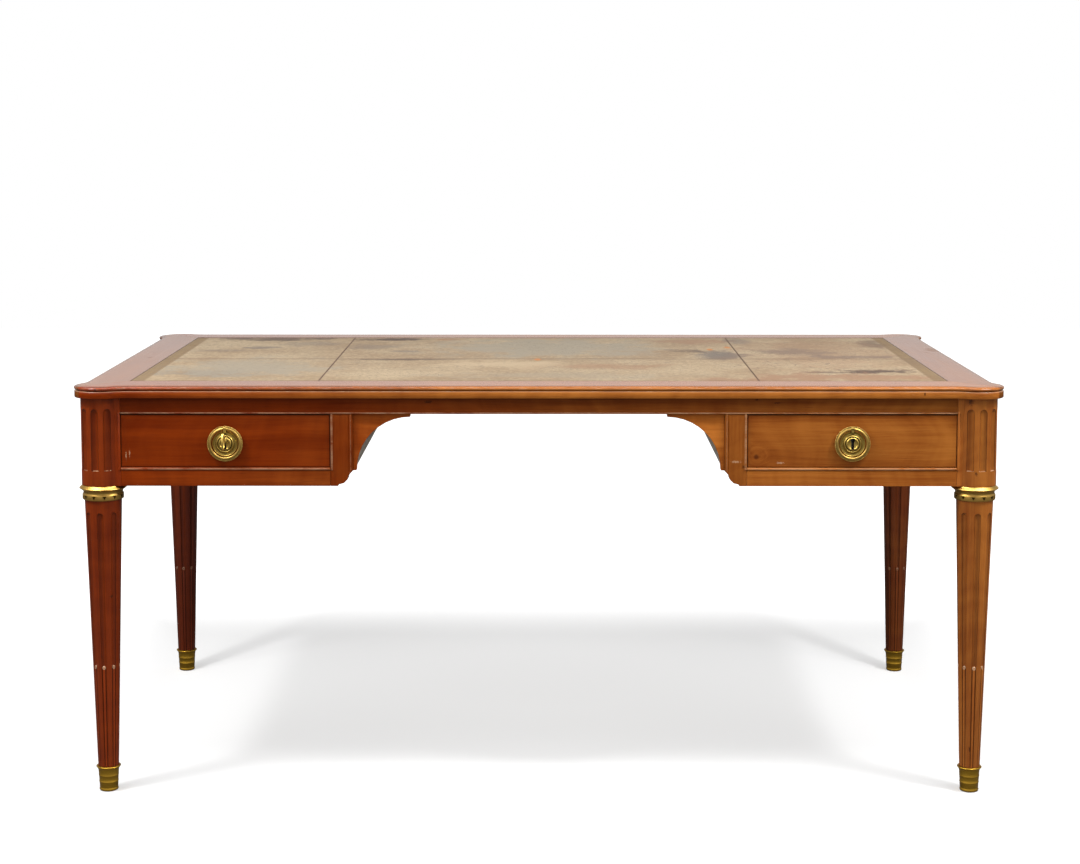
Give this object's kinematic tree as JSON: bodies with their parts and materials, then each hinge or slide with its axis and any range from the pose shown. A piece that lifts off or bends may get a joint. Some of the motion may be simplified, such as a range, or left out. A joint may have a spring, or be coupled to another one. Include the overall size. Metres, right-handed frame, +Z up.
{
  "type": "partners_desk",
  "caption": "Writing desk for two, leather-lined top with rounded ear corners, ring-pull drawers on both long sides, open kneehole, and fluted tapering legs in brass shoes.",
  "frame": {"origin": "On the floor, midway between the ends and midway between the key bow at the front and the back edge of the top.", "axes": "+X runs along the desk to the right as seen from the front, +Y from the front to the back, +Z up. The keyed drawer faces -Y."},
  "size_m": [1.698, 0.964, 0.76],
  "materials": {
    "mahogany": "French polished mahogany, worn and sun-faded in places",
    "oak": "plain unpolished oak",
    "leather": "aged pale hide, waxed, with a tooled border",
    "brass": "lacquered brass gone dull in the hollows",
    "steel": "filed and oiled steel"
  },
  "bodies": {
    "carcass": {"apron_left": "mahogany", "apron_right": "mahogany", "capital_bl": "brass", "capital_br": "brass", "capital_fl": "brass", "capital_fr": "brass", "cheek_left": "mahogany", "cheek_right": "mahogany", "leather_left": "leather", "leather_middle": "leather", "leather_right": "leather", "leg_bl": "mahogany", "leg_br": "mahogany", "leg_fl": "mahogany", "leg_fr": "mahogany", "rail_back": "mahogany", "rail_front": "mahogany", "sabot_bl": "brass", "sabot_br": "brass", "sabot_fl": "brass", "sabot_fr": "brass", "sill_bl": "mahogany", "sill_br": "mahogany", "sill_fl": "mahogany", "sill_fr": "mahogany", "spandrel_bl": "mahogany", "spandrel_br": "mahogany", "spandrel_fl": "mahogany", "spandrel_fr": "mahogany", "stile_bl": "mahogany", "stile_br": "mahogany", "stile_fl": "mahogany", "stile_fr": "mahogany", "top_board_back": "mahogany", "top_board_front": "mahogany", "top_board_left": "mahogany", "top_board_right": "mahogany", "top_panel": "oak"},
    "drawer_fl": {"drawer_front_fl": "mahogany", "drawer_box_fl": "oak", "escutcheon_fl": "brass", "lock_fl": "steel"},
    "pull_fl": {"ring_fl": "brass"},
    "drawer_fr": {"drawer_front_fr": "mahogany", "drawer_box_fr": "oak", "escutcheon_fr": "brass", "lock_fr": "steel"},
    "pull_fr": {"ring_fr": "brass"},
    "drawer_bl": {"drawer_front_bl": "mahogany", "drawer_box_bl": "oak", "escutcheon_bl": "brass", "lock_bl": "steel"},
    "pull_bl": {"ring_bl": "brass"},
    "drawer_br": {"drawer_front_br": "mahogany", "drawer_box_br": "oak", "escutcheon_br": "brass", "lock_br": "steel"},
    "pull_br": {"ring_br": "brass"},
    "bolt_fl": {"bolt_fl": "steel"},
    "key_fl": {"key_fl": "brass"}
  },
  "joints": [
    {"name": "drawer_slide_fl", "type": "slide", "parent": "carcass", "child": "drawer_fl", "axis": [0, -1, 0], "range_m": [0, 0.29]},
    {"name": "ring_swing_fl", "type": "hinge", "parent": "drawer_fl", "child": "pull_fl", "pos_m": [-0.5704, -0.448, 0.68305], "axis": [-1, 0, 0], "range_deg": [0, 90]},
    {"name": "drawer_slide_fr", "type": "slide", "parent": "carcass", "child": "drawer_fr", "axis": [0, -1, 0], "range_m": [0, 0.29]},
    {"name": "ring_swing_fr", "type": "hinge", "parent": "drawer_fr", "child": "pull_fr", "pos_m": [0.5704, -0.448, 0.68305], "axis": [-1, 0, 0], "range_deg": [0, 90]},
    {"name": "drawer_slide_bl", "type": "slide", "parent": "carcass", "child": "drawer_bl", "axis": [0, 1, 0], "range_m": [0, 0.29]},
    {"name": "ring_swing_bl", "type": "hinge", "parent": "drawer_bl", "child": "pull_bl", "pos_m": [-0.5704, 0.464, 0.68305], "axis": [1, 0, 0], "range_deg": [0, 90]},
    {"name": "drawer_slide_br", "type": "slide", "parent": "carcass", "child": "drawer_br", "axis": [0, 1, 0], "range_m": [0, 0.29]},
    {"name": "ring_swing_br", "type": "hinge", "parent": "drawer_br", "child": "pull_br", "pos_m": [0.5704, 0.464, 0.68305], "axis": [1, 0, 0], "range_deg": [0, 90]},
    {"name": "key_turn", "type": "hinge", "parent": "drawer_fl", "child": "key_fl", "pos_m": [-0.5704, -0.442, 0.66155], "axis": [0, 1, 0], "range_deg": [0, 180]},
    {"name": "bolt_throw", "type": "slide", "parent": "drawer_fl", "child": "bolt_fl", "axis": [0, 0, 1], "range_m": [0, 0.008]}
  ],
  "couplings": [
    {"joint": "key_turn", "follows": "bolt_throw", "rad_per_m": 392.69}
  ]
}
